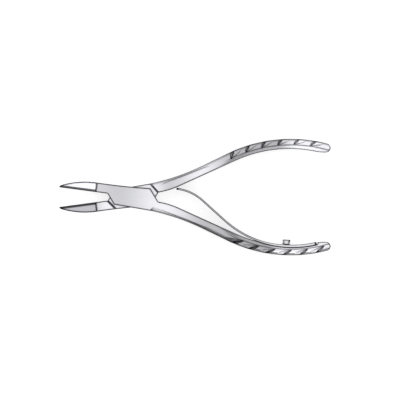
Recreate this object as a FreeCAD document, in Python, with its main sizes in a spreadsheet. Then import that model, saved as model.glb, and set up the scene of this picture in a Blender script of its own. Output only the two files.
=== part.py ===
# Bone cutting forceps, 17 cm: two lapped halves on a hidden pivot screw, opened by a leaf spring.
# X runs along the instrument with the blades at -X, Y is across it, Z is the pivot axis.
# Both halves are drawn closed, blade on +Y and handle on -Y, and then turned open by half_open.
import FreeCAD, Part
import Sketcher
import math
import os

os.makedirs("parts", exist_ok=True)
doc = FreeCAD.newDocument("bone_cutting_forceps")
sheet = doc.addObject("Spreadsheet::Sheet", "Sizes")
rows = []


class Size:
    """A number together with the formula that gives it in the document."""

    def __init__(self, value, formula):
        self.value = value
        self.formula = formula

    def combine(self, other, sign, result):
        other = as_size(other)
        return Size(result(self.value, other.value), f"({self.formula} {sign} {other.formula})")

    def __add__(self, other):
        return self.combine(other, "+", lambda a, b: a + b)

    def __sub__(self, other):
        return self.combine(other, "-", lambda a, b: a - b)

    def __mul__(self, other):
        return self.combine(other, "*", lambda a, b: a * b)

    def __truediv__(self, other):
        return self.combine(other, "/", lambda a, b: a / b)

    def __radd__(self, other):
        return as_size(other) + self

    def __neg__(self):
        return Size(-self.value, f"(0 - {self.formula})")


def as_size(number):
    return number if isinstance(number, Size) else Size(number, repr(number))


def cell(alias, value):
    """Write one driving dimension into the sheet and give it back as a Size."""
    rows.append(alias)
    sheet.set(f"A{len(rows)}", alias)
    sheet.set(f"B{len(rows)}", str(value))
    sheet.setAlias(f"B{len(rows)}", alias)
    return Size(value, f"Sizes.{alias}")


def sine(angle):
    return Size(math.sin(math.radians(angle.value)), f"sin({angle.formula} * 1 deg)")


def cosine(angle):
    return Size(math.cos(math.radians(angle.value)), f"cos({angle.formula} * 1 deg)")


def polar(centre, radius, angle):
    """The point below a centre, swung by an angle toward +X."""
    return centre[0] + radius * sine(angle), centre[1] - radius * cosine(angle)


def easing_radius(run, drop):
    """Radius of the arc that leaves a straight face and drops away over a run."""
    return (run * run + drop * drop) / (drop * 2)


# whole instrument
depth = cell("depth", 9.6)
half_open = cell("half_open", 7.5)
blade_gap = cell("blade_gap", 0.04)
lap_gap = cell("lap_gap", 0.04)
shoulder_gap = cell("shoulder_gap", 0.15)
cut_margin = cell("cut_margin", 5)

# jaw
jaw_reach = cell("jaw_reach", 47)
tip_back_setback = cell("tip_back_setback", 1.6)
tip_back_y = cell("tip_back_y", 1.75)
tip_radius = cell("tip_radius", 2.4)
jaw_back_setback = cell("jaw_back_setback", 22)
jaw_back_y = cell("jaw_back_y", 6.05)
jaw_back_radius = cell("jaw_back_radius", 52)
jaw_tip_half_depth = cell("jaw_tip_half_depth", 1.8)
jaw_taper_start = cell("jaw_taper_start", 13)
blade_length = cell("blade_length", 23.2)
edge_half_width = cell("edge_half_width", 0.15)
edge_band = cell("edge_band", 1.1)
edge_band_rise = cell("edge_band_rise", 0.62)
bevel_rise = cell("bevel_rise", 3.2)
bevel_run = cell("bevel_run", 5.4)

# joint plate
plate_front_x = cell("plate_front_x", 16.4)
plate_low_x = cell("plate_low_x", 11.6)
plate_low_y = cell("plate_low_y", 6.2)
plate_rear_x = cell("plate_rear_x", 9.5)
plate_rear_y = cell("plate_rear_y", 6.8)
plate_back_radius = cell("plate_back_radius", 430)
plate_heel_x = cell("plate_heel_x", 15.6)
plate_heel_y = cell("plate_heel_y", 0.76)
rear_shoulder_x = cell("rear_shoulder_x", 16.1)
rear_shoulder_lean = cell("rear_shoulder_lean", 0.68)

# handle outline: outer line
outer_x = cell("outer_x", 90.1)
outer_low = cell("outer_low", 24)
outer_radius = cell("outer_radius", 90)
outer_angle = cell("outer_angle", 18.3)
outer_shank = cell("outer_shank", 17.9)
outer_neck_radius = cell("outer_neck_radius", 142)
outer_neck_angle = cell("outer_neck_angle", 4.6)
root_overlap_angle = cell("root_overlap_angle", 0.8)
outer_end_angle = cell("outer_end_angle", 22)

# handle outline: inner line
inner_shift = cell("inner_shift", 0.5)
grip_width = cell("grip_width", 6.2)
inner_radius_step = cell("inner_radius_step", 9.8)
inner_angle = cell("inner_angle", 16.9)
inner_shank = cell("inner_shank", 39)
inner_neck_radius = cell("inner_neck_radius", 52)
inner_neck_angle = cell("inner_neck_angle", 3)
inner_end_angle = cell("inner_end_angle", 18.3)
end_radius = cell("end_radius", 2.85)
end_inner_slope = cell("end_inner_slope", 5)
end_sweep_radius = cell("end_sweep_radius", 32)
blank_end_angle = cell("blank_end_angle", 24.5)
end_allowance = cell("end_allowance", 0.5)

# handle section
crest_radius = cell("crest_radius", 2.7)
waist_start = cell("waist_start", 18)
waist_end = cell("waist_end", 50)
waist_drop = cell("waist_drop", 0.5)
edge_break = cell("edge_break", 0.25)

# ground band along the inner side of the grip
ridge_shift = cell("ridge_shift", 0.9)
ridge_inset = cell("ridge_inset", 2.2)
ridge_radius_step = cell("ridge_radius_step", 10.6)
ridge_band = cell("ridge_band", 5)
ridge_drop = cell("ridge_drop", 1.9)
ridge_sweep = cell("ridge_sweep", 84)

# grip flutes
flute_count = cell("flute_count", 6)
front_flute_first = cell("front_flute_first", -14)
rear_flute_first = cell("rear_flute_first", -20.5)
flute_pitch_angle = cell("flute_pitch_angle", 7.3)
flute_length = cell("flute_length", 18)
front_flute_half_width = cell("front_flute_half_width", 4.3)
rear_flute_half_width = cell("rear_flute_half_width", 7)
front_flute_lean = cell("front_flute_lean", -62)
rear_flute_lean = cell("rear_flute_lean", 48)
flute_tip_margin = cell("flute_tip_margin", 0.4)

# pivot screw
pivot_diameter = cell("pivot_diameter", 6)
pivot_clearance = cell("pivot_clearance", 0.04)
pivot_head_diameter = cell("pivot_head_diameter", 9)
pivot_head_height = cell("pivot_head_height", 1.5)
pivot_head_recess = cell("pivot_head_recess", 0.2)
pivot_thread_diameter = cell("pivot_thread_diameter", 4.8)
pivot_thread_end = cell("pivot_thread_end", 8.2)
seat_clearance = cell("seat_clearance", 0.02)
slot_width = cell("slot_width", 1)
slot_depth = cell("slot_depth", 0.8)

# leaf spring and its seat
seat_shift = cell("seat_shift", 3.9)
seat_depth = cell("seat_depth", 1.05)
seat_radius_step = cell("seat_radius_step", 26)
seat_end_angle = cell("seat_end_angle", 21.4)
seat_start_angle = cell("seat_start_angle", -15)
leaf_width = cell("leaf_width", 7)
leaf_thickness = cell("leaf_thickness", 1.3)
leaf_root_extra = cell("leaf_root_extra", 0.5)
leaf_end_angle = cell("leaf_end_angle", 21.2)
leaf_chamfer_angle = cell("leaf_chamfer_angle", 18)
leaf_rise_angle = cell("leaf_rise_angle", 34.6)
leaf_tip_gap = cell("leaf_tip_gap", 0.1)
leaf_crown_radius = cell("leaf_crown_radius", 28)
leaf_crown_angle = cell("leaf_crown_angle", 36)

# spring screw and locating pin
screw_angle = cell("screw_angle", 3.8)
screw_diameter = cell("screw_diameter", 3)
screw_head_diameter = cell("screw_head_diameter", 5.1)
screw_head_height = cell("screw_head_height", 3)
screw_depth = cell("screw_depth", 3.4)
screw_slot_width = cell("screw_slot_width", 0.8)
screw_slot_depth = cell("screw_slot_depth", 1.1)
screw_slot_angle = cell("screw_slot_angle", 35)
screw_rim = cell("screw_rim", 0.4)
head_lift = cell("head_lift", 0.08)
leaf_hole_clearance = cell("leaf_hole_clearance", 0.1)
pin_angle = cell("pin_angle", 11.5)
pin_diameter = cell("pin_diameter", 2)
pin_depth = cell("pin_depth", 2.4)
pin_rise = cell("pin_rise", 1.3)

doc.recompute()
mid = depth / 2
zero = as_size(0)


def origin_plane(body, role):
    return next(item for item in body.Origin.OriginFeatures if item.Role == role)


def sketch_on(body, label, role, height=None):
    """An empty sketch on one of the body's own planes, raised by a height along its normal."""
    sketch = body.newObject("Sketcher::SketchObject", label)
    sketch.AttachmentSupport = (origin_plane(body, role), "")
    sketch.MapMode = "FlatFace"
    if height is not None:
        sketch.setExpression("AttachmentOffset.Base.z", height.formula)
    return sketch


def pin_value(sketch, kind, size, *geometry):
    """Add one dimension to a sketch and bind it to its formula."""
    name = f"{kind}{len(sketch.Constraints)}"
    index = sketch.addConstraint(Sketcher.Constraint(kind, *geometry, size.value))
    sketch.renameConstraint(index, name)
    sketch.setExpression(f"Constraints.{name}", size.formula)


def arc_between(start, end, radius, turn):
    """The short arc from start to end; turn is 1 counter-clockwise and -1 clockwise."""
    chord = end - start
    reach = math.sqrt(radius * radius - chord.Length ** 2 / 4)
    left = FreeCAD.Vector(-chord.y, chord.x, 0) / chord.Length
    centre = start + chord / 2 + left * (reach * turn)
    first, last = (start, end) if turn > 0 else (end, start)
    angles = [math.atan2(point.y - centre.y, point.x - centre.x) for point in (first, last)]
    circle = Part.Circle(centre, FreeCAD.Vector(0, 0, 1), radius)
    return Part.ArcOfCircle(circle, angles[0], angles[1])


def closed_profile(sketch, corners, arcs=None):
    """Draw a closed outline. arcs maps a side's number to its radius and turn."""
    arcs = arcs or {}
    points = [FreeCAD.Vector(x.value, y.value, 0) for x, y in corners]
    first = len(sketch.Geometry)
    count = len(corners)
    for side in range(count):
        start, end = points[side], points[(side + 1) % count]
        if side in arcs:
            radius, turn = arcs[side]
            sketch.addGeometry(arc_between(start, end, radius.value, turn), False)
        else:
            sketch.addGeometry(Part.LineSegment(start, end), False)
    for side in range(count):
        following = (side + 1) % count
        end_point = 1 if side in arcs and arcs[side][1] < 0 else 2
        start_point = 2 if following in arcs and arcs[following][1] < 0 else 1
        sketch.addConstraint(Sketcher.Constraint(
            "Coincident", first + side, end_point, first + following, start_point))
        own_start = 2 if side in arcs and arcs[side][1] < 0 else 1
        pin_value(sketch, "DistanceX", corners[side][0], -1, 1, first + side, own_start)
        pin_value(sketch, "DistanceY", corners[side][1], -1, 1, first + side, own_start)
        if side in arcs:
            pin_value(sketch, "Radius", arcs[side][0], first + side)


def feature(body, kind, label, sketch, length=None, **settings):
    """Add a sketch-based feature to a body and recompute it."""
    item = body.newObject(f"PartDesign::{kind}", label)
    item.Profile = sketch
    for name, value in settings.items():
        setattr(item, name, value)
    if length is not None:
        item.setExpression("Length", length.formula)
    sketch.Visibility = False
    doc.recompute()
    return item


def primitive(body, kind, label, placement, **sizes):
    """Add or cut a primitive solid whose sizes and placement are formulas."""
    item = body.newObject(f"PartDesign::{kind}", label)
    for name, size in sizes.items():
        item.setExpression(name, size.formula)
    item.setExpression("Placement", placement)
    return item


def placement_at(x, y, z, turns):
    """Placement formula at a point, turned in order by (axis, angle) pairs, the last one first."""
    axes = {"x": "1; 0; 0", "y": "0; 1; 0", "z": "0; 0; 1"}
    spins = " * ".join(
        f"rotation(vector({axes[axis]}); {as_size(angle).formula})" for axis, angle in turns)
    where = "; ".join(as_size(number).formula for number in (x, y, z))
    return f"placement(vector({where}); {spins})"


def edges_where(shape, test):
    """Names of the edges whose middle point passes a test."""
    names = []
    for number, edge in enumerate(shape.Edges, 1):
        middle = edge.valueAt((edge.FirstParameter + edge.LastParameter) / 2)
        if test(middle, edge):
            names.append(f"Edge{number}")
    return names


# points that the halves, the spring and the screws share
inner_low = outer_low - grip_width
inner_radius = outer_radius - inner_radius_step
ridge_radius = outer_radius - ridge_radius_step
seat_radius = outer_radius - seat_radius_step
outer_centre = (outer_x, outer_radius - outer_low)
inner_centre = (outer_x - inner_shift, inner_radius - inner_low)
ridge_centre = (outer_x + ridge_shift, ridge_radius - inner_low - ridge_inset)
seat_centre = (outer_x + seat_shift, seat_radius - inner_low - seat_depth)
blade_heel = jaw_reach - blade_length


def neck_point(angle):
    """The point where the outer neck arc has the slope of an angle."""
    start = polar(outer_centre, outer_radius, -outer_angle)
    shank = (start[0] - outer_shank * cosine(outer_angle), start[1] + outer_shank * sine(outer_angle))
    x = shank[0] - outer_neck_radius * (sine(outer_angle) - sine(angle))
    y = shank[1] + outer_neck_radius * (cosine(angle) - cosine(outer_angle))
    return shank, (x, y)


def handle_outline(sketch):
    """The handle, from its root inside the joint plate to past its end."""
    shank, root = neck_point(outer_neck_angle - root_overlap_angle)
    inner_start = polar(inner_centre, inner_radius, -inner_angle)
    waist_x = inner_start[0] - inner_shank * cosine(inner_angle)
    waist_y = inner_start[1] + inner_shank * sine(inner_angle)
    throat_x = waist_x - inner_neck_radius * (sine(inner_angle) - sine(inner_neck_angle))
    throat_y = waist_y + inner_neck_radius * (cosine(inner_neck_angle) - cosine(inner_angle))
    corners = [
        root,
        shank,
        polar(outer_centre, outer_radius, -outer_angle),
        polar(outer_centre, outer_radius, blank_end_angle),
        polar(inner_centre, inner_radius - end_allowance, blank_end_angle),
        polar(inner_centre, inner_radius, inner_end_angle),
        inner_start,
        (waist_x, waist_y),
        (throat_x, throat_y),
        (plate_heel_x, -plate_heel_y),
    ]
    arcs = {
        0: (outer_neck_radius, -1),
        2: (outer_radius, 1),
        5: (inner_radius, -1),
        7: (inner_neck_radius, 1),
    }
    closed_profile(sketch, corners, arcs)


def jaw_outline(sketch):
    """The blade and the joint plate."""
    edge = blade_gap / 2
    corners = [
        (-jaw_reach, edge),
        (-plate_front_x, edge),
        (-plate_low_x, -plate_low_y),
        neck_point(outer_neck_angle)[1],
        (plate_heel_x, -plate_heel_y),
        (plate_rear_x, plate_rear_y),
        (jaw_back_setback - jaw_reach, jaw_back_y),
        (tip_back_setback - jaw_reach, tip_back_y),
    ]
    arcs = {
        5: (plate_back_radius, -1),
        6: (jaw_back_radius, 1),
        7: (tip_radius, 1),
    }
    closed_profile(sketch, corners, arcs)


def end_outline(sketch):
    """The cut that rounds the end of the handle."""
    outer_end = polar(outer_centre, outer_radius, outer_end_angle)
    end_centre = polar(outer_centre, outer_radius - end_radius, outer_end_angle)
    inner_end = polar(inner_centre, inner_radius, inner_end_angle)
    clear_x = end_centre[0] + end_radius + cut_margin
    corners = [
        outer_end,
        (end_centre[0] - end_radius * sine(end_inner_slope),
         end_centre[1] + end_radius * cosine(end_inner_slope)),
        inner_end,
        (inner_end[0], end_centre[1] + end_radius + cut_margin),
        (clear_x, end_centre[1] + end_radius + cut_margin),
        (clear_x, outer_end[1] - cut_margin),
        (outer_end[0], outer_end[1] - cut_margin),
    ]
    closed_profile(sketch, corners, {0: (end_radius, 1), 1: (end_sweep_radius, 1)})


def side_relief(sketch, up):
    """The cut above (up 1) or below (up -1) that tapers the jaw and slims the shank."""
    def level(offset):
        return mid + (mid + offset) * up
    taper_run = jaw_reach + cut_margin - jaw_taper_start
    taper_drop = mid - jaw_tip_half_depth
    jaw = [
        (-jaw_taper_start, level(zero)),
        (-(jaw_reach + cut_margin), level(-taper_drop)),
        (-(jaw_reach + cut_margin), level(cut_margin)),
        (-jaw_taper_start, level(cut_margin)),
    ]
    closed_profile(sketch, jaw, {0: (easing_radius(taper_run, taper_drop), up)})
    waist = [
        (waist_start, level(zero)),
        (waist_end, level(zero)),
        (waist_end, level(cut_margin)),
        (waist_start, level(cut_margin)),
    ]
    waist_radius = easing_radius((waist_end - waist_start) / 2, waist_drop)
    closed_profile(sketch, waist, {0: (waist_radius, up)})


def bevel_section(sketch, up):
    """The wedge that is ground off one side of the blade, seen along the jaw."""
    foot = edge_half_width + edge_band_rise
    corners = [
        (-cut_margin, mid + edge_half_width * up),
        (blade_gap / 2, mid + edge_half_width * up),
        (edge_band, mid + foot * up),
        (edge_band + bevel_run, mid + (foot + bevel_rise) * up),
        (edge_band + bevel_run, mid + (mid + cut_margin) * up),
        (-cut_margin, mid + (mid + cut_margin) * up),
    ]
    closed_profile(sketch, corners)


def outer_edge(point):
    """Whether a point of the blank's rim is on the outer line of the handle."""
    start = polar(outer_centre, outer_radius, -outer_angle)
    if point.x > start[0].value:
        radius = math.hypot(point.x - outer_centre[0].value, point.y - outer_centre[1].value)
        return abs(radius - outer_radius.value) < 0.1
    return point.y < start[1].value * point.x / start[0].value * 0.92


def build_half(label, flute_first, flute_lean, flute_half_width):
    """One half of the forceps, in the closed position."""
    body = doc.addObject("PartDesign::Body", label)
    body.Label = label

    handle = sketch_on(body, f"{label}_handle_outline", "XY_Plane")
    handle_outline(handle)
    blank = feature(body, "Pad", f"{label}_handle", handle, depth)

    # rounded outer crest of the handle
    def on_crest(point, edge):
        runs_along = abs(edge.tangentAt(edge.FirstParameter).x) > 0.8
        return runs_along and outer_edge(point)
    crest = body.newObject("PartDesign::Fillet", f"{label}_crest")
    crest.Base = (blank, edges_where(blank.Shape, on_crest))
    crest.setExpression("Radius", crest_radius.formula)
    doc.recompute()

    # ground band along the inner edge of the grip
    band = sketch_on(body, f"{label}_band_section", "YZ_Plane", ridge_centre[0])
    band.setExpression("AttachmentOffset.Base.x", ridge_centre[1].formula)
    for up in (1, -1):
        corners = [
            (-ridge_radius - ridge_band, mid + (mid + ridge_drop) * up),
            (ridge_band - ridge_radius, mid + (mid - ridge_drop) * up),
            (ridge_band - ridge_radius, mid + (mid + ridge_drop) * up),
        ]
        closed_profile(band, corners)
    sweep = feature(body, "Groove", f"{label}_band", band, ReferenceAxis=(band, ["V_Axis"]),
                    Midplane=True)
    sweep.setExpression("Angle", ridge_sweep.formula)
    doc.recompute()

    jaw = sketch_on(body, f"{label}_jaw_outline", "XY_Plane")
    jaw_outline(jaw)
    feature(body, "Pad", f"{label}_jaw", jaw, depth)

    end = sketch_on(body, f"{label}_end_outline", "XY_Plane")
    end_outline(end)
    feature(body, "Pocket", f"{label}_end", end, Type="ThroughAll", Midplane=True)

    relief = sketch_on(body, f"{label}_side_view", "XZ_Plane")
    side_relief(relief, 1)
    side_relief(relief, -1)
    feature(body, "Pocket", f"{label}_relief", relief, Type="ThroughAll", Midplane=True)

    # flutes across the crest, pointed near the ridge and wide at the outer edge
    tip = polar(ridge_centre, ridge_radius + flute_tip_margin, flute_first)
    for side, level in (("back", zero), ("front", depth)):
        flute = primitive(
            body, "SubtractiveWedge", f"{label}_flute_{side}",
            placement_at(tip[0], tip[1], level, [("z", flute_first + flute_lean), ("y", 45)]),
            Xmin=-flute_half_width, Xmax=flute_half_width, X2min=zero, X2max=zero,
            Ymin=-flute_length, Ymax=zero,
            Zmin=-flute_half_width, Zmax=flute_half_width, Z2min=zero, Z2max=zero)
        doc.recompute()
        pattern = body.newObject("PartDesign::PolarPattern", f"{label}_flutes_{side}")
        pattern.Originals = [flute]
        pattern.Axis = (band, ["V_Axis"])
        pattern.setExpression("Occurrences", flute_count.formula)
        pattern.setExpression("Angle", (flute_pitch_angle * (flute_count - 1)).formula)
        body.Tip = pattern
        doc.recompute()

    # ground bevels of the blade
    bevel = sketch_on(body, f"{label}_bevel_section", "YZ_Plane", -blade_heel)
    bevel_section(bevel, 1)
    bevel_section(bevel, -1)
    feature(body, "Pocket", f"{label}_bevel", bevel, blade_length + cut_margin)

    # half lap under the joint plate
    lap = sketch_on(body, f"{label}_lap_outline", "XY_Plane")
    reach = depth
    front = plate_front_x + shoulder_gap
    lean_front = (plate_front_x - plate_low_x) / plate_low_y
    lap_corners = [
        (-front, zero),
        (-front, -reach),
        (rear_shoulder_x - reach * rear_shoulder_lean, -reach),
        (rear_shoulder_x, zero),
        (rear_shoulder_x + cut_margin, reach),
        (-front + reach * lean_front, reach),
    ]
    closed_profile(lap, lap_corners)
    feature(body, "Pocket", f"{label}_lap", lap, mid + lap_gap / 2, Reversed=True)
    return body


front_half = build_half(
    "front_half", front_flute_first, front_flute_lean, front_flute_half_width)
rear_half = build_half(
    "rear_half", rear_flute_first, rear_flute_lean, rear_flute_half_width)


# threaded seat of the pivot screw in the front half, blind so that the front face stays plain
seat_bore = primitive(
    front_half, "SubtractiveCylinder", "pivot_thread_bore",
    placement_at(0, 0, zero, [("z", 0)]),
    Radius=pivot_thread_diameter / 2 + seat_clearance,
    Height=pivot_thread_end + seat_clearance)
doc.recompute()

# running bore and head counterbore of the rear half, whose outer face is its own z = depth
running_bore = primitive(
    rear_half, "SubtractiveCylinder", "pivot_running_bore",
    placement_at(0, 0, mid, [("z", 0)]),
    Radius=pivot_diameter / 2 + pivot_clearance, Height=mid + cut_margin)
head_depth = pivot_head_recess + pivot_head_height + lap_gap
head_bore = primitive(
    rear_half, "SubtractiveCylinder", "pivot_head_bore",
    placement_at(0, 0, depth - head_depth, [("z", 0)]),
    Radius=pivot_head_diameter / 2 + shoulder_gap, Height=head_depth + cut_margin)
doc.recompute()

# milled seat of the leaf spring along the inner edge of the front half's grip
seat = sketch_on(front_half, "leaf_seat_outline", "XY_Plane")
seat_floor_start = polar(seat_centre, seat_radius, seat_start_angle)
seat_floor_end = polar(seat_centre, seat_radius, seat_end_angle)
seat_mouth = seat_floor_end[1] + cut_margin * 2
seat_corners = [
    seat_floor_start,
    seat_floor_end,
    (seat_floor_end[0] + leaf_root_extra, seat_mouth),
    (seat_floor_start[0], seat_mouth),
]
closed_profile(seat, seat_corners, {0: (seat_radius, 1)})
feature(front_half, "Pocket", "leaf_seat", seat, Type="ThroughAll", Midplane=True)


def radial(angle, radius, turns=None):
    """Placement formula on the seat's arc, with Z pointing away from its centre."""
    x, y = polar(seat_centre, radius, angle)
    return placement_at(x, y, mid, [("z", angle), ("x", 90)] + (turns or []))


for name, angle, diameter, bore_depth in (
        ("spring_screw_bore", screw_angle, screw_diameter, screw_depth),
        ("spring_pin_bore", pin_angle, pin_diameter, pin_depth)):
    primitive(
        front_half, "SubtractiveCylinder", name, radial(angle, seat_radius - cut_margin),
        Radius=diameter / 2 + seat_clearance, Height=bore_depth + seat_clearance + cut_margin)
    doc.recompute()

# pivot screw: slotted head at the back, plain journal, threaded end
pivot_screw = doc.addObject("PartDesign::Body", "pivot_screw")
screw_profile = sketch_on(pivot_screw, "pivot_screw_section", "XZ_Plane")
screw_corners = [
    (zero, pivot_head_recess),
    (pivot_head_diameter / 2, pivot_head_recess),
    (pivot_head_diameter / 2, pivot_head_recess + pivot_head_height),
    (pivot_diameter / 2, pivot_head_recess + pivot_head_height),
    (pivot_diameter / 2, mid - lap_gap / 2),
    (pivot_thread_diameter / 2, mid - lap_gap / 2),
    (pivot_thread_diameter / 2, pivot_thread_end - edge_break),
    (pivot_thread_diameter / 2 - edge_break, pivot_thread_end),
    (zero, pivot_thread_end),
]
closed_profile(screw_profile, screw_corners)
feature(pivot_screw, "Revolution", "pivot_screw_turned", screw_profile,
        ReferenceAxis=(screw_profile, ["V_Axis"]))
primitive(
    pivot_screw, "SubtractiveBox", "pivot_screw_slot",
    placement_at(-pivot_head_diameter, -slot_width / 2, pivot_head_recess - cut_margin, [("z", 0)]),
    Length=pivot_head_diameter * 2, Width=slot_width, Height=slot_depth + cut_margin)
doc.recompute()

# leaf spring, drawn with the front half closed and turned open with it
leaf_spring = doc.addObject("PartDesign::Body", "leaf_spring")
leaf = sketch_on(leaf_spring, "leaf_outline", "XY_Plane", mid - leaf_width / 2)
sole_radius = seat_radius - seat_clearance
root_thickness = leaf_thickness + leaf_root_extra


def along_line(point, angle):
    """How far a point lies to the left of a line through the origin at an angle."""
    return point[1] * cosine(angle) - point[0] * sine(angle)


def crown_offset(crown_radius):
    """From the end of the leaf's straight run to the end of its crown."""
    turn = leaf_rise_angle - leaf_crown_angle
    return (crown_radius * (sine(turn) - sine(leaf_rise_angle)),
            crown_radius * (cosine(turn) - cosine(leaf_rise_angle)))


def moved(point, step):
    return point[0] + step[0], point[1] + step[1]


# the leaf's straight run is as long as it takes to reach the open rear handle
face_radius = sole_radius - leaf_thickness
face_rise = polar(seat_centre, face_radius, -leaf_rise_angle)
face_crown = crown_offset(leaf_crown_radius + leaf_thickness)
opening = half_open * 2
rear_grip = polar(inner_centre, inner_radius, -inner_angle)
rear_point = (rear_grip[0] * cosine(opening) + rear_grip[1] * sine(opening),
              rear_grip[0] * sine(opening) - rear_grip[1] * cosine(opening))
rear_angle = inner_angle + opening
reach_left = along_line(rear_point, rear_angle) - leaf_tip_gap
reach_left = reach_left - along_line(moved(face_rise, face_crown), rear_angle)
leaf_straight = reach_left / sine(rear_angle + leaf_rise_angle)
straight_run = (-leaf_straight * cosine(leaf_rise_angle), leaf_straight * sine(leaf_rise_angle))

sole_rise = polar(seat_centre, sole_radius, -leaf_rise_angle)
sole_top = moved(sole_rise, straight_run)
face_top = moved(face_rise, straight_run)
leaf_corners = [
    polar(seat_centre, sole_radius, leaf_end_angle),
    polar(seat_centre, sole_radius - root_thickness, leaf_chamfer_angle),
    face_rise,
    face_top,
    moved(face_top, face_crown),
    moved(sole_top, crown_offset(leaf_crown_radius)),
    sole_top,
    sole_rise,
]
leaf_arcs = {
    1: (seat_radius - root_thickness, -1),
    3: (leaf_crown_radius + leaf_thickness, 1),
    5: (leaf_crown_radius, -1),
    7: (sole_radius, 1),
}
closed_profile(leaf, leaf_corners, leaf_arcs)
feature(leaf_spring, "Pad", "leaf_blank", leaf, leaf_width)
for name, angle, diameter, bore_depth in (
        ("leaf_screw_hole", screw_angle, screw_diameter, cut_margin),
        ("leaf_pin_hole", pin_angle, pin_diameter, pin_rise + leaf_hole_clearance)):
    primitive(
        leaf_spring, "SubtractiveCylinder", name, radial(angle, seat_radius - bore_depth),
        Radius=diameter / 2 + leaf_hole_clearance, Height=bore_depth + cut_margin)
    doc.recompute()

# spring screw: slotted cheese head on the leaf, shank in the grip
spring_screw = doc.addObject("PartDesign::Body", "spring_screw")
head_seat = seat_radius - seat_clearance - root_thickness - head_lift
primitive(
    spring_screw, "AdditiveCylinder", "spring_screw_head",
    radial(screw_angle, head_seat - screw_head_height),
    Radius=screw_head_diameter / 2, Height=screw_head_height)
doc.recompute()
top_edges = edges_where(spring_screw.Shape, lambda point, edge: edge.Closed)
head = spring_screw.Tip
rim = spring_screw.newObject("PartDesign::Chamfer", "spring_screw_rim")
rim.Base = (head, top_edges[:1])
rim.setExpression("Size", screw_rim.formula)
doc.recompute()
primitive(
    spring_screw, "AdditiveCylinder", "spring_screw_shank",
    radial(screw_angle, head_seat), Radius=screw_diameter / 2,
    Height=seat_radius - head_seat + screw_depth)
slot_place = radial(screw_angle, head_seat - screw_head_height - cut_margin, [("z", screw_slot_angle)])
slot_shift = placement_at(-screw_head_diameter, -screw_slot_width / 2, zero, [("z", zero)])
primitive(
    spring_screw, "SubtractiveBox", "spring_screw_slot", f"{slot_place} * {slot_shift}",
    Length=screw_head_diameter * 2, Width=screw_slot_width, Height=screw_slot_depth + cut_margin)
doc.recompute()

# locating pin pressed into the grip under the leaf's root
spring_pin = doc.addObject("PartDesign::Body", "spring_pin")
primitive(
    spring_pin, "AdditiveCylinder", "spring_pin_blank", radial(pin_angle, seat_radius - pin_rise),
    Radius=pin_diameter / 2, Height=pin_rise + pin_depth)
doc.recompute()

# open the jaws: the front half and what it carries turn one way, the flipped rear half the other
for body in (front_half, leaf_spring, spring_screw, spring_pin, pivot_screw):
    body.setExpression("Placement", placement_at(0, 0, 0, [("z", -half_open)]))
rear_half.setExpression(
    "Placement", placement_at(0, 0, depth, [("z", half_open), ("x", as_size(180))]))
doc.recompute()

for item in doc.Objects:
    if "Invalid" in item.State or "Error" in item.State:
        raise RuntimeError(f"{item.Label} did not build")
for body in (front_half, rear_half, pivot_screw, leaf_spring, spring_screw, spring_pin):
    body.Label = body.Name
    if not body.Shape.isValid():
        raise RuntimeError(f"{body.Label} is not a valid solid")
    body.Shape.exportStep(f"parts/{body.Label}.step")
    print(body.Label, round(body.Shape.Volume, 1), len(body.Shape.Solids))
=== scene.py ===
"""Bone cutting forceps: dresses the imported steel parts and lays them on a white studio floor."""
import math

import bpy
from mathutils import Matrix, Vector


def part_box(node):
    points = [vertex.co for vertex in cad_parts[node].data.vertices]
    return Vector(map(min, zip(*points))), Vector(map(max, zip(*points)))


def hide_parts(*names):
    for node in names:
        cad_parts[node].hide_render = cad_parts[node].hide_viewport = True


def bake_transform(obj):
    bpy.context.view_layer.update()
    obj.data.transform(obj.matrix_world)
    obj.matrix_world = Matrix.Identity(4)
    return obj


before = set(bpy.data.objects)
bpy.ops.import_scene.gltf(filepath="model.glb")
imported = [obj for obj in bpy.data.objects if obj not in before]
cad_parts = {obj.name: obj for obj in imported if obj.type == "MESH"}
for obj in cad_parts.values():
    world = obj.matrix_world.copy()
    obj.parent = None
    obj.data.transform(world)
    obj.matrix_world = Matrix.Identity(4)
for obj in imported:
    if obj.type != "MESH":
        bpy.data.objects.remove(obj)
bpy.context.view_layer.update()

bl_info = {
    "name": "Bone Cutting Forceps",
    "version": (1, 0, 0),
    "blender": (4, 5, 0),
    "location": "View3D > Sidebar > Forceps",
    "description": "Dresses a pair of bone cutting forceps and its studio",
    "category": "Object",
}

HALF_LOW, HALF_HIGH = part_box("front_half")
MID_DEPTH = (HALF_LOW.z + HALF_HIGH.z) / 2
# the angle that each half is turned by from its place with the blades closed
HALF_OPEN = math.radians(7.5)
FRONT_TURN = Matrix.Rotation(-HALF_OPEN, 4, "Z")

# places on a half in metres, with the blades closed: the pivot is at 0 and the blades point to -X
BLADE_HEEL_X = -0.0238
CUTTING_EDGE_BAND = (0.0013, 0.00182)
SHANK_ROOT = (0.008, 0.011)
SHANK_LINE_START = (0.010, 0.012)
SHANK_CREST_RISE = (0.022, 0.040)
SHANK_CREST_FALL = (0.070, 0.064)
GRIP_START = (0.058, 0.064)
GRIP_CENTRE = (0.0901, 0.066)
GRIP_RADIUS = 0.090
GRIP_RIM = (GRIP_RADIUS - 0.0010, GRIP_RADIUS - 0.0005)
INNER_RIM_RADIUS = 0.0862
INNER_RIM_LINE = (0.0005 / 3, 0.0005)
FLUTES_FADE = 0.001

# how level a face is, from 0 for an upright one to 1: where each painted shade line or band begins
# and ends
UPRIGHT = (0.02, 0.12)
SIDE_SHADED = (0.05, 0.25)
RIM_SEEN = (0.1, 0.3)
CREST_LINE = (0.58, 0.72)
CREST_SHADED = (0.90, 0.99)
LEAF_CORNER_LINE = (0.93, 0.995)
# how well a face's own normal agrees with the rounded one, from a painted shade line at an edge to
# the plain face
EDGE_AGREEMENT = (0.975, 0.999)
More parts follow.
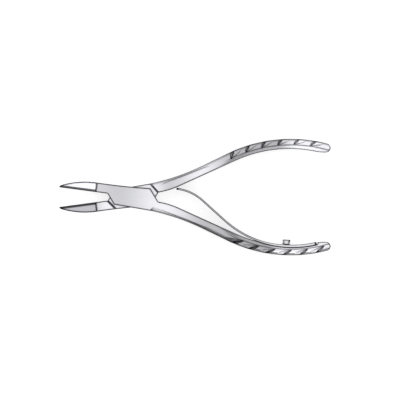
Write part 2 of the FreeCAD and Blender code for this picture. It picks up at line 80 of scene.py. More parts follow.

# tones of painted shade lines and bands that the steel's colour is multiplied by, where 1 leaves
# it as it is
CUTTING_EDGE_TONE = 0.12
EDGE_LINE_TONE = 0.08
CREST_LINE_TONE = 0.2
GRIP_RIM_TONE = 0.12
INNER_RIM_TONE = 0.35
LEAF_CORNER_TONE = 0.08
SHANK_CREST_TONE = 0.25
UPRIGHT_TONE = 0.7
# the share of the crest's shade that the shank's root gets
SHANK_ROOT_SHARE = 0.6
# the shares of a painted shade line's reach along an edge that finer pieces get
FLUTE_LINE_SHARE = 0.6
SCREW_LINE_SHARE = 0.65
HIDDEN_LINE_SHARE = 0.5

# painted light and shade along each half, in place of the studio's bright and dark reflections, as
# distance from the pivot and tone
FRONT_TONES = (
    (-0.026, 1.08), (-0.010, 0.97), (0.019, 1.42), (0.050, 0.80), (0.074, 0.68),
    (0.085, 0.70), (0.096, 1.45))
REAR_TONES = (
    (-0.026, 1.02), (-0.017, 1.40), (0.013, 1.40), (0.023, 0.98), (0.044, 1.40),
    (0.068, 0.76), (0.092, 0.74), (0.106, 1.45))
# the same painted light and shade for the leaf, by the distance from its root end
LEAF_TONES = ((0.0, 2.1), (0.026, 2.0), (0.044, 1.0), (0.098, 1.0))

# each half's turn, grip centre, end of its flutes, painted light and shade along it, and whether
# its crest gets painted shade
HALVES = {
    "front_half": {
        "turn": HALF_OPEN, "grip_centre": GRIP_CENTRE, "flutes_end": 0.1215,
        "tones": FRONT_TONES, "dark_crest": True},
    "rear_half": {
        "turn": -HALF_OPEN, "grip_centre": (GRIP_CENTRE[0], -GRIP_CENTRE[1]),
        "flutes_end": 0.1165, "tones": REAR_TONES, "dark_crest": False},
}

# grain of the satin steel, where GRAIN_RADIUS turns an angle round the grip into a length
GRAIN_RADIUS = 0.08
BRUSH_STRETCH = (0.035, 1, 1)
BRUSH_SCALE = 0.7
CLOUD_SCALE = 90
SCRATCH_SCALE = 900
SCRATCH_TURN = (0.3, 0.1, 0.6)
SCRATCH_STRETCH = (0.03, 1, 1)
RELIEF_DEPTH = 0.00001
# how far the painted shade in crevices looks for faces nearby
CREVICE_SHADE_REACH = 0.0012
TURNED_GRAIN = 0.00015
TURNED_EDGE_RADIUS = 0.0001
# the levels of noise, or of open sky for the painted shade in crevices, between which a mark goes
# from nothing to full
BRUSH_SHOWS = (0.25, 0.75)
BRUSH_DULLS = (0.3, 0.7)
CLOUD_SHOWS = (0.3, 0.7)
SCRATCH_SHOWS = (0.72, 0.76)
CREVICE_SHADE_SHOWS = (0.35, 0.85)
# how far the marks change the tone and the roughness
BRUSH_TONES = (0.93, 1.05)
CLOUD_TONES = (0.975, 1.02)
BRUSH_ROUGHNESS = (-0.05, 0.06)
CLOUD_ROUGHNESS = (-0.03, 0.03)

# the leaf's middle line with the blades closed: an arc on its seat, a straight run and a crown
SEAT_CENTRE = (0.0940, 0.04515)
SEAT_RADIUS = 0.06398
SEAT_START = math.radians(21.2)
SEAT_END = math.radians(-34.6)
STRAIGHT_RUN = 0.01867
CROWN_RADIUS = 0.028
CROWN_TURN = math.radians(36)
SEAT_STEPS = 40
CROWN_STEPS = 20
LEAF_STEPS = 220
# shares of the leaf's length from its root: where it thickens toward the root, and where it
# narrows toward the tip
ROOT_THICKENS = (0.40, 0.12)
TIP_NARROWS = (0.45, 1.0)
END_CORNER_RADIUS = 0.0018

# the studio
FLOOR_LEVEL = -0.00005
FLOOR_GLOW = 0.68
PAPER_TONE = 0.62
WHITE = (1, 1, 1, 1)
SKY_AXIS = (0.0, 0.34, 0.94)
# the sky's colour, by how near the direction is to SKY_AXIS
SKY_TONES = (
    (0.0, (0.12, 0.12, 0.125, 1)), (0.25, (0.2, 0.2, 0.206, 1)), (0.5, (0.55, 0.55, 0.5665, 1)),
    (0.75, (0.85, 0.85, 0.8755, 1)), (0.87, WHITE))
CAMERA_PLACE = (0.04133, -0.0018)
LIGHT_DISTANCE = 0.3
# for each light: the spot it is aimed at, the way that the sloping face there throws back the
# view from above, its side and its power
LIGHTS = {
    "blade_light": ((-0.036, 0.006, MID_DEPTH), (-0.114, -0.868, 0.483), 0.14, 0.1),
    "grip_light": ((0.100, 0.032, MID_DEPTH), (0.0, -0.77, 0.64), 0.10, 0.05),
}


# settings that a user would change

class FORCEPS_PG_steel(bpy.types.PropertyGroup):
    body_colour: bpy.props.FloatVectorProperty(
        name="Body steel", description="Colour of the two forged halves",
        subtype="COLOR", size=3, min=0, max=1, default=(0.66, 0.66, 0.69))
    spring_colour: bpy.props.FloatVectorProperty(
        name="Spring steel", description="Colour of the leaf spring",
        subtype="COLOR", size=3, min=0, max=1, default=(0.39, 0.39, 0.41))
    screw_colour: bpy.props.FloatVectorProperty(
        name="Screw steel", description="Colour of the turned screws and the pin",
        subtype="COLOR", size=3, min=0, max=1, default=(0.80, 0.80, 0.82))
    grain_width: bpy.props.FloatProperty(
        name="Grain width", description="Spacing of the satin brush lines",
        subtype="DISTANCE", unit="LENGTH", min=0.00002, default=0.00022, precision=6)
    edge_radius: bpy.props.FloatProperty(
        name="Edge radius", description="How far the polished edges are rounded over",
        subtype="DISTANCE", unit="LENGTH", min=0, default=0.00025, precision=6)
    line_reach: bpy.props.FloatProperty(
        name="Edge line reach", description="How far the dark line along an edge reaches inward",
        subtype="DISTANCE", unit="LENGTH", min=0, default=0.0016, precision=6)


class FORCEPS_PG_leaf(bpy.types.PropertyGroup):
    width: bpy.props.FloatProperty(
        name="Width", description="Width of the leaf at its root, along the pivot axis",
        subtype="DISTANCE", unit="LENGTH", default=0.007, precision=5)
    tip_width: bpy.props.FloatProperty(
        name="Tip width", description="Width of the leaf where it meets the upper handle",
        subtype="DISTANCE", unit="LENGTH", default=0.0062, precision=5)
    thickness: bpy.props.FloatProperty(
        name="Thickness", description="Thickness of the free leaf",
        subtype="DISTANCE", unit="LENGTH", default=0.0013, precision=5)
    root_thickness: bpy.props.FloatProperty(
        name="Root thickness", description="Thickness under the screw",
        subtype="DISTANCE", unit="LENGTH", default=0.00178, precision=5)
    corner_radius: bpy.props.FloatProperty(
        name="Corner radius", description="Rounding of the leaf's long edges",
        subtype="DISTANCE", unit="LENGTH", default=0.0004, precision=5)


class FORCEPS_PG_stage(bpy.types.PropertyGroup):
    view_width: bpy.props.FloatProperty(
        name="View width", description="Width that the camera takes in at the forceps' front face",
        subtype="DISTANCE", unit="LENGTH", default=0.2489, precision=4)
    camera_height: bpy.props.FloatProperty(
        name="Camera height", description="Height of the camera above the floor",
        subtype="DISTANCE", unit="LENGTH", default=1.6)
    floor_size: bpy.props.FloatProperty(
        name="Floor size", description="Side of the square studio floor",
        subtype="DISTANCE", unit="LENGTH", default=6.0)


# node helpers

NODES_IN_A_ROW = 8
NODE_SPACING = (220, 260)


class NodeWriter:
    """Adds nodes to an emptied tree, where an input may be a value or another node's socket."""

    def __init__(self, tree):
        self.tree = tree
        tree.nodes.clear()

    def add(self, kind, inputs=None, **settings):
        """One node of any kind, with its settings made before its inputs are filled."""
        node = self.tree.nodes.new(kind)
        for name, value in settings.items():
            setattr(node, name, value)
        for key, value in (inputs or {}).items():
            if isinstance(value, bpy.types.NodeSocket):
                self.tree.links.new(value, node.inputs[key])
            else:
                node.inputs[key].default_value = value
        return node

    def calc(self, operation, first, second=0.0):
        return self.add("ShaderNodeMath", {0: first, 1: second}, operation=operation).outputs[0]

    def times(self, first, *others):
        """The product of all that is given."""
        for other in others:
            first = self.calc("MULTIPLY", first, other)
        return first

    def vector(self, operation, first, second=(0, 0, 0)):
        node = self.add("ShaderNodeVectorMath", {0: first, 1: second}, operation=operation)
        return node.outputs["Value" if operation in ("LENGTH", "DOT_PRODUCT") else "Vector"]

    def scaled(self, vector, factor):
        node = self.add("ShaderNodeVectorMath", {0: vector, "Scale": factor}, operation="SCALE")
        return node.outputs["Vector"]

    def axes(self, vector):
        """The X, Y and Z outputs of a vector."""
        return self.add("ShaderNodeSeparateXYZ", {"Vector": vector}).outputs

    def joined(self, x, y, z):
        return self.add("ShaderNodeCombineXYZ", {"X": x, "Y": y, "Z": z}).outputs[0]

    def fade(self, value, start, end, low=0.0, high=1.0, interpolation="LINEAR"):
        """Goes from low to high while the value goes from start to end."""
        return self.add("ShaderNodeMapRange", {
            "Value": value, "From Min": start, "From Max": end, "To Min": low, "To Max": high},
            interpolation_type=interpolation).outputs[0]

    def mix(self, share, first, second):
        """The first number where the share is 0, and the second where it is 1."""
        return self.add("ShaderNodeMix", {0: share, 2: first, 3: second}).outputs[0]

    def noise(self, vector, scale, detail, roughness=0.5):
        return self.add("ShaderNodeTexNoise", {
            "Vector": vector, "Scale": scale, "Detail": detail, "Roughness": roughness}).outputs[0]

    def ramp(self, share, stops, interpolation="LINEAR"):
        """A colour ramp with its stops in order, each a place and a colour."""
        node = self.add("ShaderNodeValToRGB", {"Fac": share})
        elements = node.color_ramp.elements
        node.color_ramp.interpolation = interpolation
        elements[0].position = stops[0][0]
        elements[1].position = stops[-1][0]
        for place, colour in stops[1:-1]:
            elements.new(place)
        for element, (place, colour) in zip(elements, stops):
            element.color = colour
        return node.outputs[0]

    def set_out(self):
        """Set the nodes out in rows so that the tree can be read."""
        for index, node in enumerate(self.tree.nodes):
            row, column = divmod(index, NODES_IN_A_ROW)
            node.location = (column * NODE_SPACING[0], -row * NODE_SPACING[1])


def new_material(name):
    material = bpy.data.materials.new(name)
    material.use_nodes = True
    return material, NodeWriter(material.node_tree)


def dress(piece, material):
    """Give the whole piece one material."""
    piece.data.materials.clear()
    piece.data.materials.append(material)


# finish of the steel, with the light and shade painted into its colour

def grip_coordinates(nodes, straight, centre):
    """Coordinates that run straight along the shank and then round the grip's centre."""
    place = nodes.axes(straight)
    spoke = nodes.vector("MULTIPLY", nodes.vector("SUBTRACT", straight, (*centre, 0)), (1, 1, 0))
    radius = nodes.vector("LENGTH", spoke)
    parts = nodes.axes(spoke)
    swing = nodes.calc("ARCTAN2", parts["X"], parts["Y"])
    curved = nodes.joined(nodes.times(swing, GRAIN_RADIUS), radius, place["Z"])
    on_grip = nodes.fade(place["X"], *GRIP_START)
    along = nodes.add("ShaderNodeMix", {0: on_grip, 4: straight, 5: curved}, data_type="VECTOR")
    return along.outputs[1], radius, on_grip


def fluted_area(nodes, radius, on_grip, run, end):
    """1 on the fluted face of the grip, and 0 on its inner slope and its rounded end."""
    outside = nodes.fade(radius, INNER_RIM_RADIUS - FLUTES_FADE, INNER_RIM_RADIUS)
    before_end = nodes.fade(run, end + FLUTES_FADE, end)
    return nodes.times(outside, before_end, on_grip)


def levelness(nodes):
    """1 on faces that lie flat and 0 on upright ones, on the front and the back alike."""
    normal = nodes.add("ShaderNodeNewGeometry").outputs["Normal"]
    return nodes.calc("ABSOLUTE", nodes.axes(normal)["Z"])


def painted_light_along(nodes, run, tones):
    """Painted light and shade: a smooth run of lighter and darker tone along the piece, in place
    of the studio's reflections.
    """
    first, last = tones[0][0], tones[-1][0]
    brightest = max(tone for place, tone in tones)
    stops = []
    for place, tone in tones:
        grey = tone / brightest
        stops.append(((place - first) / (last - first), (grey, grey, grey, 1)))
    return nodes.times(nodes.ramp(nodes.fade(run, first, last), stops, "EASE"), brightest)


def edge_lines(nodes, reach, flutes=None):
    """Painted shade: a dark line along every edge, where the rounded normal leaves the face's,
    finer on flutes.
    """
    if flutes is not None:
        reach = nodes.fade(flutes, 0, 1, reach, reach * FLUTE_LINE_SHARE)
    rounded = nodes.add("ShaderNodeBevel", {"Radius": reach}, samples=8).outputs[0]
    own = nodes.add("ShaderNodeNewGeometry").outputs["Normal"]
    agreement = nodes.vector("DOT_PRODUCT", rounded, own)
    return nodes.fade(agreement, *EDGE_AGREEMENT, EDGE_LINE_TONE, 1.0)


def rounded_line(nodes, steepest, flattest, tone):
    """Painted shade: a dark line over the steeper part of a rounded edge, but not on the upright
    side below it.
    """
    level = levelness(nodes)
    over = nodes.fade(level, steepest, flattest, 1.0, 0.0)
    depth = nodes.times(over, nodes.fade(level, *UPRIGHT))
    return nodes.fade(depth, 0, 1, 1.0, tone)


def outer_line(nodes, radius, on_grip, run):
    """Painted shade: a dark line along the outer side of the handle, on the shank's crest and
    round the grip.
    """
    crest = rounded_line(nodes, *CREST_LINE, CREST_LINE_TONE)
    shank = nodes.calc("MAXIMUM", crest, nodes.fade(run, *SHANK_LINE_START, 1.0, 0.0))
    rim = nodes.fade(radius, *GRIP_RIM, 1.0, GRIP_RIM_TONE)
    grip = nodes.calc("MAXIMUM", rim, nodes.fade(levelness(nodes), *UPRIGHT, 1.0, 0.0))
    return nodes.mix(on_grip, shank, grip)


def inner_rim(nodes, radius, on_grip):
    """Painted shade: a thin dark line on the grip where the fluted face meets the inner slope."""
    away = nodes.calc("ABSOLUTE", nodes.calc("SUBTRACT", radius, INNER_RIM_RADIUS))
    line = nodes.fade(away, *INNER_RIM_LINE, INNER_RIM_TONE, 1.0)
    seen = nodes.times(nodes.fade(levelness(nodes), *RIM_SEEN), on_grip)
    return nodes.mix(seen, 1.0, line)


def upright_shade(nodes):
    """Slightly darker upright sides, which would else throw back only the white floor."""
    return nodes.fade(levelness(nodes), *SIDE_SHADED, UPRIGHT_TONE, 1.0)


def crest_shade(nodes, run):
    """Painted shade: darker where the shank's outer side is rounded over."""
    rounded = nodes.fade(levelness(nodes), *CREST_SHADED, 1.0, 0.0)
    crest = nodes.fade(run, *SHANK_CREST_RISE)
    root = nodes.fade(run, *SHANK_ROOT, 0.0, SHANK_ROOT_SHARE)
    there = nodes.times(nodes.calc("MAXIMUM", crest, root), nodes.fade(run, *SHANK_CREST_FALL))
    depth = nodes.times(rounded, there, nodes.fade(levelness(nodes), *UPRIGHT))
    return nodes.fade(depth, 0, 1, 1.0, SHANK_CREST_TONE)


def cutting_edge(nodes, straight):
    """Painted shade: a dark band along the cutting edge, in front of the blade's heel."""
    place = nodes.axes(straight)
    height = nodes.calc("ABSOLUTE", place["Y"])
    band = nodes.fade(height, *CUTTING_EDGE_BAND, CUTTING_EDGE_TONE, 1.0)
    past_heel = nodes.calc("GREATER_THAN", place["X"], BLADE_HEEL_X)
    return nodes.calc("MAXIMUM", band, past_heel)


def satin_steel(name, colour, roughness, grain, half=None, tones=None, edge_radius=0.0,
                line_reach=0.0, grain_depth=0.35, crevice_shade_tone=0.55, own_grain=None,
                dark_corners=False):
    """Brushed steel whose grain runs along the piece, and round the grip of a half.

    A swept piece has coordinates of its own for that, in the attribute that own_grain names.
    """
    material, nodes = new_material(name)
    if own_grain:
        place = nodes.add("ShaderNodeAttribute", attribute_name=own_grain).outputs["Vector"]
    else:
        place = nodes.add("ShaderNodeTexCoord").outputs["Object"]
    straight = nodes.add("ShaderNodeMapping", {
        "Vector": place, "Rotation": (0, 0, half["turn"] if half else 0)}).outputs["Vector"]
    along = straight
    run = nodes.axes(straight)["X"]
    # the colour's tones: painted light and shade, then the real brush grain and cloudy tone
    shades = []
    # painted light and shade along the piece
    if tones:
        shades.append(painted_light_along(nodes, run, tones))
    flutes = None
    if half:
        along, radius, on_grip = grip_coordinates(nodes, straight, half["grip_centre"])
        flutes = fluted_area(nodes, radius, on_grip, run, half["flutes_end"])
        # painted shade: dark lines along the cutting edge, the outer side and the grip's inner
        # ridge, and darker upright sides
        shades += [cutting_edge(nodes, straight), outer_line(nodes, radius, on_grip, run),
                   inner_rim(nodes, radius, on_grip), upright_shade(nodes)]
        # painted shade on the rounded crest of the front half's shank
        if half["dark_crest"]:
            shades.append(crest_shade(nodes, run))
    # painted shade on the leaf's rounded long edges
    if dark_corners:
        shades.append(rounded_line(nodes, *LEAF_CORNER_LINE, LEAF_CORNER_TONE))
    # painted shade lines along the edges
    if line_reach:
        shades.append(edge_lines(nodes, line_reach, flutes))

    stretched = nodes.vector("MULTIPLY", along, BRUSH_STRETCH)
    brush = nodes.noise(stretched, BRUSH_SCALE / grain, detail=4, roughness=0.6)
    cloud = nodes.noise(straight, CLOUD_SCALE, detail=3)
    slanting = nodes.add("ShaderNodeMapping", {
        "Vector": straight, "Rotation": SCRATCH_TURN, "Scale": SCRATCH_STRETCH}).outputs["Vector"]
    scratch = nodes.noise(slanting, SCRATCH_SCALE, detail=1, roughness=0.4)
    # painted shade: darker in crevices, where little open sky is near
    open_sky = nodes.add("ShaderNodeAmbientOcclusion", {"Distance": CREVICE_SHADE_REACH},
                         samples=6, inside=False).outputs["AO"]
    shades += [nodes.fade(brush, *BRUSH_SHOWS, *BRUSH_TONES),
               nodes.fade(cloud, *CLOUD_SHOWS, *CLOUD_TONES),
               nodes.fade(open_sky, *CREVICE_SHADE_SHOWS, crevice_shade_tone, 1.0)]
    brushed = [roughness + change for change in BRUSH_ROUGHNESS]
    rough = nodes.calc("ADD", nodes.fade(brush, *BRUSH_DULLS, *brushed),
                       nodes.fade(cloud, *CLOUD_SHOWS, *CLOUD_ROUGHNESS))
    relief = nodes.calc("SUBTRACT", brush, nodes.fade(scratch, *SCRATCH_SHOWS))
    bump = {"Height": relief, "Strength": grain_depth, "Distance": RELIEF_DEPTH}
    if edge_radius:
        edge = nodes.add("ShaderNodeBevel", {"Radius": edge_radius}, samples=6)
        bump["Normal"] = edge.outputs[0]
    shader = nodes.add("ShaderNodeBsdfPrincipled", {
        "Base Color": nodes.scaled(tuple(colour), nodes.times(*shades)), "Metallic": 1.0,
        "Roughness": rough, "Normal": nodes.add("ShaderNodeBump", bump).outputs[0]})
    nodes.add("ShaderNodeOutputMaterial", {"Surface": shader.outputs[0]}, is_active_output=True)
    nodes.set_out()
    return material


# the pieces

class FORCEPS_OT_halves(bpy.types.Operator):
    """Give the two forged halves their brushed steel"""
    bl_idname = "forceps.halves"
    bl_label = "Forged halves"

    def execute(self, context):
        steel = context.scene.forceps_steel
        for node, half in HALVES.items():
            material = satin_steel(
                f"{node}_steel", steel.body_colour, roughness=0.26, grain=steel.grain_width,
                half=half, tones=half["tones"], edge_radius=steel.edge_radius,
                line_reach=steel.line_reach)
            dress(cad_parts[node], material)
        return {"FINISHED"}


def closed_to_world(x, y):
    """A point of the front half's own closed position, as it lies when the blades are open."""
    return FRONT_TURN @ Vector((x, y, 0))


def leaf_path_points(thickness):
    """The middle line of the leaf, root first: the seated arc, the straight run and the crown."""
    radius = SEAT_RADIUS - thickness / 2
    points = []
    for step in range(SEAT_STEPS + 1):
        angle = SEAT_START + (SEAT_END - SEAT_START) * step / SEAT_STEPS
        points.append((SEAT_CENTRE[0] + radius * math.sin(angle),
                       SEAT_CENTRE[1] - radius * math.cos(angle)))
    rise = -SEAT_END
    x, y = points[-1]
    x, y = x - STRAIGHT_RUN * math.cos(rise), y + STRAIGHT_RUN * math.sin(rise)
    points.append((x, y))
    crown = CROWN_RADIUS + thickness / 2
    hub = (x - crown * math.sin(rise), y - crown * math.cos(rise))
    for step in range(1, CROWN_STEPS + 1):
        angle = rise - CROWN_TURN * step / CROWN_STEPS
        points.append((hub[0] + crown * math.sin(angle), hub[1] + crown * math.cos(angle)))
    return points


def root_growth(nodes, source, share, side, deep):
    """Thickens the leaf toward its root. The sole stays on the seat, so the free face moves."""
    thickness = nodes.fade(share, *ROOT_THICKENS, source["Thickness"], source["Root Thickness"],
                           "SMOOTHSTEP")
    growth = nodes.calc("DIVIDE", thickness, source["Thickness"])
    half = nodes.times(source["Thickness"], 0.5)
    above_sole = nodes.calc("ADD", deep, half)
    raised = nodes.calc("SUBTRACT", nodes.times(above_sole, growth), half)
    return nodes.scaled(side, nodes.calc("SUBTRACT", raised, deep))


def end_narrowing(nodes, source, share, run, whole_run, height):
    """Narrows the leaf toward its tip, and rounds the corners of both its ends."""
    tip_share = nodes.calc("DIVIDE", source["Tip Width"], source["Width"])
    taper = nodes.fade(share, *TIP_NARROWS, 1.0, tip_share, "SMOOTHSTEP")
    from_end = nodes.calc("MINIMUM", nodes.calc("SUBTRACT", whole_run, run), run)
    inside = nodes.calc("MAXIMUM", nodes.calc("SUBTRACT", END_CORNER_RADIUS, from_end), 0.0)
    square = nodes.calc("SUBTRACT", END_CORNER_RADIUS ** 2, nodes.times(inside, inside))
    drop = nodes.calc("SUBTRACT", END_CORNER_RADIUS, nodes.calc("SQRT", square))
    half_width = nodes.times(source["Width"], 0.5)
    corner_share = nodes.calc("SUBTRACT", 1.0, nodes.calc("DIVIDE", drop, half_width))
    narrow = nodes.times(taper, corner_share)
    return nodes.joined(0, 0, nodes.times(height, nodes.calc("SUBTRACT", narrow, 1.0)))


def leaf_tree(name):
    """Geometry nodes that sweep a rounded strip along a path and vary its thickness and width."""
    tree = bpy.data.node_groups.new(name, "GeometryNodeTree")
    face = tree.interface
    face.new_socket("Geometry", in_out="INPUT", socket_type="NodeSocketGeometry")
    face.new_socket("Geometry", in_out="OUTPUT", socket_type="NodeSocketGeometry")
    for label in ("Width", "Tip Width", "Thickness", "Root Thickness", "Corner Radius"):
        face.new_socket(label, in_out="INPUT", socket_type="NodeSocketFloat")
    face.new_socket("Material", in_out="INPUT", socket_type="NodeSocketMaterial")
    nodes = NodeWriter(tree)
    source = nodes.add("NodeGroupInput").outputs

    path = nodes.add("GeometryNodeResampleCurve", {
        "Curve": source["Geometry"], "Count": LEAF_STEPS})
    upright = nodes.add("GeometryNodeSetCurveNormal", {"Curve": path.outputs[0]}, mode="Z_UP")
    spline = nodes.add("GeometryNodeSplineParameter").outputs
    kept = nodes.add("GeometryNodeCaptureAttribute", {
        "Geometry": upright.outputs[0]}, domain="POINT")
    for kind, label, socket in (
            ("VECTOR", "Middle", nodes.add("GeometryNodeInputPosition").outputs[0]),
            ("VECTOR", "Side", nodes.add("GeometryNodeInputNormal").outputs[0]),
            ("FLOAT", "Factor", spline["Factor"]),
            ("FLOAT", "Run", spline["Length"])):
        kept.capture_items.new(kind, label)
        tree.links.new(socket, kept.inputs[label])
    section = nodes.add("GeometryNodeCurvePrimitiveQuadrilateral", {
        "Width": source["Thickness"], "Height": source["Width"]})
    rounded = nodes.add("GeometryNodeFilletCurve", {
        "Curve": section.outputs[0], "Count": 4, "Radius": source["Corner Radius"]}, mode="POLY")
    swept = nodes.add("GeometryNodeCurveToMesh", {
        "Curve": kept.outputs["Geometry"], "Profile Curve": rounded.outputs[0], "Fill Caps": True})

    share, run, side = kept.outputs["Factor"], kept.outputs["Run"], kept.outputs["Side"]
    here = nodes.add("GeometryNodeInputPosition").outputs[0]
    offset = nodes.vector("SUBTRACT", here, kept.outputs["Middle"])
    deep = nodes.vector("DOT_PRODUCT", offset, side)
    height = nodes.axes(offset)["Z"]
    whole_run = nodes.add("GeometryNodeCurveLength", {"Curve": path.outputs[0]}).outputs[0]
    move = nodes.vector(
        "ADD", root_growth(nodes, source, share, side, deep),
        end_narrowing(nodes, source, share, run, whole_run, height))
    placed = nodes.add("GeometryNodeSetPosition", {"Geometry": swept.outputs[0], "Offset": move})
    ruled = nodes.add("GeometryNodeStoreNamedAttribute", {
        "Geometry": placed.outputs[0], "Name": "leaf_run",
        "Value": nodes.joined(run, deep, height)}, data_type="FLOAT_VECTOR", domain="POINT")
    smooth = nodes.add("GeometryNodeSetShadeSmooth", {"Geometry": ruled.outputs[0]})
    real = nodes.add("GeometryNodeRealizeInstances", {"Geometry": smooth.outputs[0]})
    painted = nodes.add("GeometryNodeSetMaterial", {
        "Geometry": real.outputs[0], "Material": source["Material"]})
    nodes.add("NodeGroupOutput", {"Geometry": painted.outputs[0]})
    nodes.set_out()
    return tree


def plain_mesh(source, name):
    """Turn an object with live modifiers into a plain mesh object and remove the original."""
    graph = bpy.context.evaluated_depsgraph_get()
    mesh = bpy.data.meshes.new_from_object(source.evaluated_get(graph), depsgraph=graph)
    piece = bpy.data.objects.new(name, mesh)
    bpy.context.scene.collection.objects.link(piece)
    bpy.data.objects.remove(source)
    return piece


class FORCEPS_OT_leaf_spring(bpy.types.Operator):
    """Sweep the leaf spring along its path with geometry nodes"""
    bl_idname = "forceps.leaf_spring"
    bl_label = "Leaf spring"

    def execute(self, context):
        leaf, steel = context.scene.forceps_leaf, context.scene.forceps_steel
        material = satin_steel(
            "leaf_steel", steel.spring_colour, roughness=0.27, grain=steel.grain_width,
            tones=LEAF_TONES, grain_depth=0.3, crevice_shade_tone=0.7, own_grain="leaf_run",
            dark_corners=True)
        curve = bpy.data.curves.new("leaf_path", "CURVE")
        curve.dimensions = "3D"
        spline = curve.splines.new("POLY")
        points = leaf_path_points(leaf.thickness)
        spline.points.add(len(points) - 1)
        for point, (x, y) in zip(spline.points, points):
            place = closed_to_world(x, y)
            point.co = (place.x, place.y, MID_DEPTH, 1)
        sweep = bpy.data.objects.new("leaf_path", curve)
        context.scene.collection.objects.link(sweep)
        tree = leaf_tree("Leaf Spring")
        modifier = sweep.modifiers.new("Leaf Spring", "NODES")
        modifier.node_group = tree
        sizes = {
            "Width": leaf.width, "Tip Width": leaf.tip_width, "Thickness": leaf.thickness,
            "Root Thickness": leaf.root_thickness, "Corner Radius": leaf.corner_radius,
            "Material": material,
        }
        for item in tree.interface.items_tree:
            if item.in_out == "INPUT" and item.name in sizes:
                modifier[item.identifier] = sizes[item.name]
        piece = plain_mesh(sweep, "leaf_spring_blade")
        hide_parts("leaf_spring")
        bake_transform(piece)
        return {"FINISHED"}


class FORCEPS_OT_spring_screw(bpy.types.Operator):
    """Give the slotted screw that holds the leaf its turned steel"""
    bl_idname = "forceps.spring_screw"
    bl_label = "Spring screw"

    def execute(self, context):
        steel = context.scene.forceps_steel
        material = satin_steel(
            "turned_screw_steel", steel.screw_colour, roughness=0.25, grain=TURNED_GRAIN,
            edge_radius=TURNED_EDGE_RADIUS, line_reach=steel.line_reach * SCREW_LINE_SHARE,
            grain_depth=0.3, crevice_shade_tone=0.6)
        dress(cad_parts["spring_screw"], material)
        return {"FINISHED"}


class FORCEPS_OT_hidden_pins(bpy.types.Operator):
    """Give the pivot screw and the locating pin their turned steel"""
    bl_idname = "forceps.hidden_pins"
    bl_label = "Pivot screw and pin"

    def execute(self, context):
        steel = context.scene.forceps_steel
        material = satin_steel(
            "pivot_screw_steel", steel.screw_colour, roughness=0.25, grain=TURNED_GRAIN,
            edge_radius=TURNED_EDGE_RADIUS, line_reach=steel.line_reach * HIDDEN_LINE_SHARE)
        for node in ("pivot_screw", "spring_pin"):
            dress(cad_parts[node], material)
        return {"FINISHED"}


# the studio

def lay_floor(size):
    """White paper that keeps the forceps' shadow and looks white in the steel too."""
    half = size / 2
    mesh = bpy.data.meshes.new("studio_floor")
    mesh.from_pydata([
        (-half, -half, FLOOR_LEVEL), (half, -half, FLOOR_LEVEL),
        (half, half, FLOOR_LEVEL), (-half, half, FLOOR_LEVEL)], [], [(0, 1, 2, 3)])
    floor = bpy.data.objects.new("studio_floor", mesh)
    bpy.context.scene.collection.objects.link(floor)
    material, nodes = new_material("white_floor")
    rays = nodes.add("ShaderNodeLightPath").outputs
    seen = nodes.calc("MAXIMUM", rays["Is Camera Ray"], rays["Is Glossy Ray"])
    seen = nodes.calc("MAXIMUM", seen, rays["Is Transmission Ray"])
    glow = nodes.add("ShaderNodeEmission", {
        "Color": WHITE, "Strength": nodes.times(seen, FLOOR_GLOW)})
    paper = nodes.add("ShaderNodeBsdfDiffuse", {"Color": (PAPER_TONE, PAPER_TONE, PAPER_TONE, 1)})
    both = nodes.add("ShaderNodeAddShader", {0: glow.outputs[0], 1: paper.outputs[0]})
    nodes.add("ShaderNodeOutputMaterial", {"Surface": both.outputs[0]})
    nodes.set_out()
    dress(floor, material)


def light_sky():
    """Soft light that is brightest along SKY_AXIS, and plain white behind the scene."""
    world = bpy.data.worlds.new("studio")
    bpy.context.scene.world = world
    world.use_nodes = True
    nodes = NodeWriter(world.node_tree)
    direction = nodes.add("ShaderNodeTexCoord").outputs["Generated"]
    dome = nodes.ramp(nodes.vector("DOT_PRODUCT", direction, SKY_AXIS), SKY_TONES)
    camera_ray = nodes.add("ShaderNodeLightPath").outputs["Is Camera Ray"]
    backdrop = nodes.add("ShaderNodeMix", {0: camera_ray, 6: dome, 7: WHITE}, data_type="RGBA")
    sky = nodes.add("ShaderNodeBackground", {"Color": backdrop.outputs[2], "Strength": 1.0})
    nodes.add("ShaderNodeOutputWorld", {"Surface": sky.outputs[0]})
    nodes.set_out()


def hang_light(name, spot, gleam, side, power):
    """A square soft light that stands off a spot in the direction of its gleam, and faces it."""
    data = bpy.data.lights.new(name, "AREA")
    data.shape = "SQUARE"
    data.size = side
    data.energy = power
    lamp = bpy.data.objects.new(name, data)
    lamp.location = Vector(spot) + Vector(gleam) * LIGHT_DISTANCE
    lamp.rotation_euler = (-Vector(gleam)).to_track_quat("-Z", "Y").to_euler()
    lamp.visible_camera = False
    bpy.context.scene.collection.objects.link(lamp)


def set_camera(height, view_width):
    """A camera straight above, which takes in view_width at the forceps' front face."""
    data = bpy.data.cameras.new("camera")
    data.lens = data.sensor_width * (height - HALF_HIGH.z) / view_width
    data.clip_start, data.clip_end = 0.01, 20
    camera = bpy.data.objects.new("camera", data)
    camera.location = (*CAMERA_PLACE, height)
    bpy.context.scene.collection.objects.link(camera)
    bpy.context.scene.camera = camera


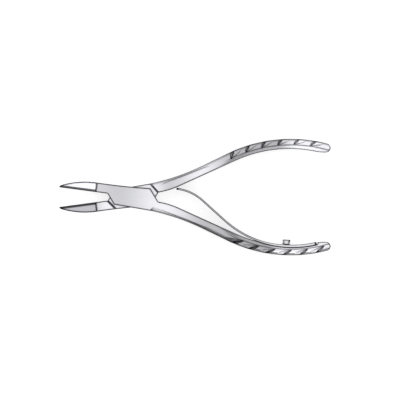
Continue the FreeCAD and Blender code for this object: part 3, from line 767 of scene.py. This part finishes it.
class FORCEPS_OT_stage(bpy.types.Operator):
    """Lay the white floor, hang the soft lights and set the camera straight above"""
    bl_idname = "forceps.stage"
    bl_label = "Studio stage"

    def execute(self, context):
        stage = context.scene.forceps_stage
        lay_floor(stage.floor_size)
        light_sky()
        for name, (spot, gleam, side, power) in LIGHTS.items():
            hang_light(name, spot, gleam, side, power)
        set_camera(stage.camera_height, stage.view_width)
        context.scene.view_settings.view_transform = "Standard"
        return {"FINISHED"}


class FORCEPS_PT_panel(bpy.types.Panel):
    """Sidebar panel with the forceps' pieces"""
    bl_idname = "FORCEPS_PT_panel"
    bl_label = "Bone Cutting Forceps"
    bl_space_type = "VIEW_3D"
    bl_region_type = "UI"
    bl_category = "Forceps"

    def draw(self, context):
        for name, group, operators in SECTIONS:
            box = self.layout.box()
            for setting in group.__annotations__:
                box.prop(getattr(context.scene, name), setting)
            for operator in operators:
                box.operator(operator.bl_idname)


# each group of settings with the operators that read it
SECTIONS = (
    ("forceps_steel", FORCEPS_PG_steel,
     (FORCEPS_OT_halves, FORCEPS_OT_spring_screw, FORCEPS_OT_hidden_pins)),
    ("forceps_leaf", FORCEPS_PG_leaf, (FORCEPS_OT_leaf_spring,)),
    ("forceps_stage", FORCEPS_PG_stage, (FORCEPS_OT_stage,)),
)


def register():
    for name, group, operators in SECTIONS:
        bpy.utils.register_class(group)
        setattr(bpy.types.Scene, name, bpy.props.PointerProperty(type=group))
        for operator in operators:
            bpy.utils.register_class(operator)
    bpy.utils.register_class(FORCEPS_PT_panel)


def unregister():
    bpy.utils.unregister_class(FORCEPS_PT_panel)
    for name, group, operators in reversed(SECTIONS):
        for operator in reversed(operators):
            bpy.utils.unregister_class(operator)
        delattr(bpy.types.Scene, name)
        bpy.utils.unregister_class(group)


def main():
    register()
    bpy.ops.forceps.stage()
    bpy.ops.forceps.halves()
    bpy.ops.forceps.leaf_spring()
    bpy.ops.forceps.spring_screw()
    bpy.ops.forceps.hidden_pins()


if __name__ == "__main__":
    main()
